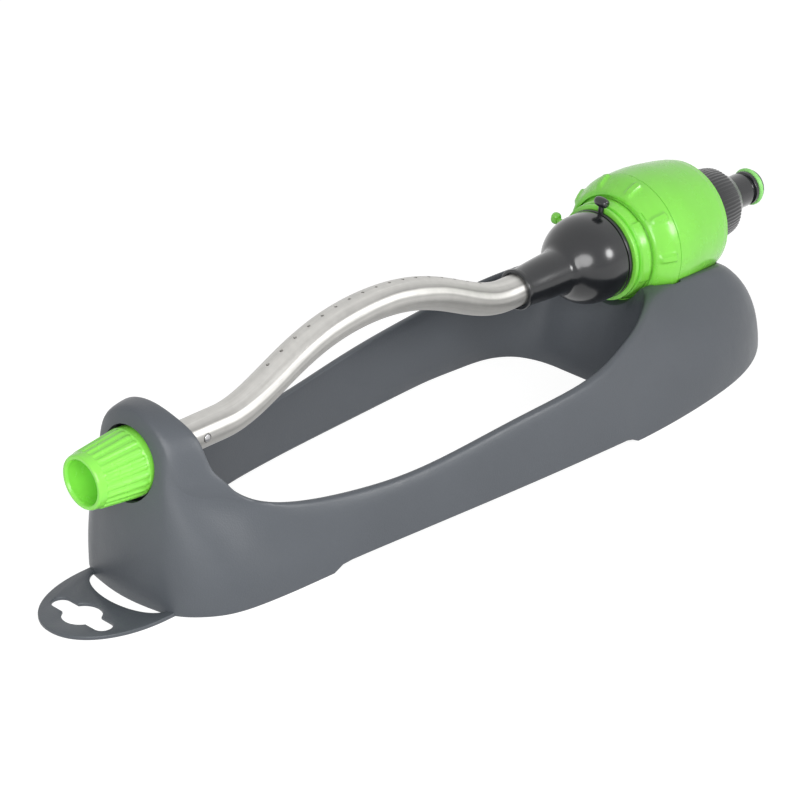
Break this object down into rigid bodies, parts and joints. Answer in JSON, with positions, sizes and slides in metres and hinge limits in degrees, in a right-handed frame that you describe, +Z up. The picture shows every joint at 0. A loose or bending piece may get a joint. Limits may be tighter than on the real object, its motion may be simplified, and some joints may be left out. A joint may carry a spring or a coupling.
{
  "type": "oscillating sprinkler",
  "caption": "Oscillating lawn sprinkler: a bent spray tube swings over a moulded ring base, driven by a water motor with limit rings and a hose nipple.",
  "frame": {"origin": "centre of the bounding box, on the ground", "axes": "+X along the spray tube towards the hose, +Z up, +Y across, away from the camera in the picture"},
  "size_m": [0.4524, 0.1266, 0.0959],
  "materials": {
    "slate_plastic": "fine grain",
    "lime_plastic": "gloss",
    "black_plastic": "satin gloss",
    "natural_plastic": "satin",
    "brushed_aluminium": "brushed satin",
    "steel": "satin",
    "rubber": "matt",
    "green_rubber": "matt"
  },
  "bodies": {
    "base": {"base_frame": "slate_plastic", "front_bush": "natural_plastic", "motor_barrel": "lime_plastic", "front_cover": "lime_plastic", "barrel_gasket": "rubber", "shaft_seal": "rubber", "gear_plate_front": "natural_plastic", "gear_plate_rear": "natural_plastic", "gear_screw_1": "steel", "gear_screw_2": "steel", "gear_screw_3": "steel", "gear_screw_4": "steel", "gear_arbor": "steel", "layshaft": "steel", "jet_plate": "natural_plastic", "inlet_strainer": "natural_plastic", "mount_screw_front": "steel", "mount_screw_rear": "steel"},
    "spray": {"spray_tube": "brushed_aluminium", "front_journal": "black_plastic", "journal_pin": "steel", "dome_coupling": "black_plastic", "tube_seal": "rubber", "output_shaft": "natural_plastic", "output_gear": "natural_plastic"},
    "lower_front": {"lower_gear_front": "natural_plastic"},
    "upper": {"upper_gear": "natural_plastic"},
    "lower_rear": {"lower_gear_rear": "natural_plastic"},
    "turbine": {"turbine_wheel": "natural_plastic"},
    "cap_washer": {"cap_washer": "rubber"},
    "cap": {"end_cap": "lime_plastic", "cleaning_needle": "steel"},
    "black_limit": {"black_limit_ring": "black_plastic"},
    "green_limit": {"green_limit_ring": "lime_plastic"},
    "grip": {"grip_collar": "lime_plastic"},
    "lever": {"reversing_lever": "natural_plastic"},
    "union_washer": {"inlet_washer": "rubber"},
    "union": {"swivel_collar": "black_plastic"},
    "nipple": {"hose_nipple": "black_plastic", "nipple_o_ring": "green_rubber"}
  },
  "joints": [
    {"name": "spray_swing", "type": "hinge", "parent": "base", "child": "spray", "pos_m": [0, 0, 0.0627], "axis": [1, 0, 0], "range_deg": [-45, 45]},
    {"name": "lower_front_spin", "type": "hinge", "parent": "base", "child": "lower_front", "pos_m": [0, 0, 0.0491], "axis": [1, 0, 0], "range_deg": [-109, 109]},
    {"name": "upper_spin", "type": "hinge", "parent": "base", "child": "upper", "pos_m": [0, 0, 0.0627], "axis": [1, 0, 0], "range_deg": [-261, 261]},
    {"name": "lower_rear_spin", "type": "hinge", "parent": "base", "child": "lower_rear", "pos_m": [0, 0, 0.0491], "axis": [1, 0, 0], "range_deg": [-624, 624]},
    {"name": "turbine_spin", "type": "hinge", "parent": "base", "child": "turbine", "pos_m": [0, 0, 0.0627], "axis": [1, 0, 0], "range_deg": [-1494, 1494]},
    {"name": "cap_travel", "type": "slide", "parent": "spray", "child": "cap_washer", "axis": [-1, 0, 0], "range_m": [0, 0.0047]},
    {"name": "cap_turn", "type": "hinge", "parent": "cap_washer", "child": "cap", "pos_m": [0, 0, 0.0627], "axis": [-1, 0, 0], "range_deg": [0, 540]},
    {"name": "black_limit_turn", "type": "hinge", "parent": "base", "child": "black_limit", "pos_m": [0, 0, 0.0627], "axis": [1, 0, 0], "range_deg": [-20, 100]},
    {"name": "green_limit_turn", "type": "hinge", "parent": "base", "child": "green_limit", "pos_m": [0, 0, 0.0627], "axis": [1, 0, 0], "range_deg": [-25, 32]},
    {"name": "flow_turn", "type": "hinge", "parent": "base", "child": "grip", "pos_m": [0, 0, 0.0627], "axis": [1, 0, 0], "range_deg": [0, 60]},
    {"name": "reversing_flip", "type": "hinge", "parent": "base", "child": "lever", "pos_m": [0, 0, 0.0802], "axis": [1, 0, 0], "range_deg": [-8, 8]},
    {"name": "union_travel", "type": "slide", "parent": "base", "child": "union_washer", "axis": [1, 0, 0], "range_m": [0, 0.0077]},
    {"name": "union_turn", "type": "hinge", "parent": "union_washer", "child": "union", "pos_m": [0, 0, 0.0627], "axis": [1, 0, 0], "range_deg": [0, 1080]},
    {"name": "nipple_swivel", "type": "hinge", "parent": "union_washer", "child": "nipple", "pos_m": [0, 0, 0.0627], "axis": [1, 0, 0], "continuous": true}
  ],
  "couplings": [
    {"joint": "lower_front_spin", "follows": "spray_swing", "ratio": -2.4},
    {"joint": "upper_spin", "follows": "spray_swing", "ratio": 5.76},
    {"joint": "lower_rear_spin", "follows": "spray_swing", "ratio": -13.824},
    {"joint": "turbine_spin", "follows": "spray_swing", "ratio": 33.178},
    {"joint": "cap_travel", "follows": "cap_turn", "m_per_rad": 0.00047746},
    {"joint": "union_travel", "follows": "union_turn", "m_per_rad": 0.00039789}
  ]
}
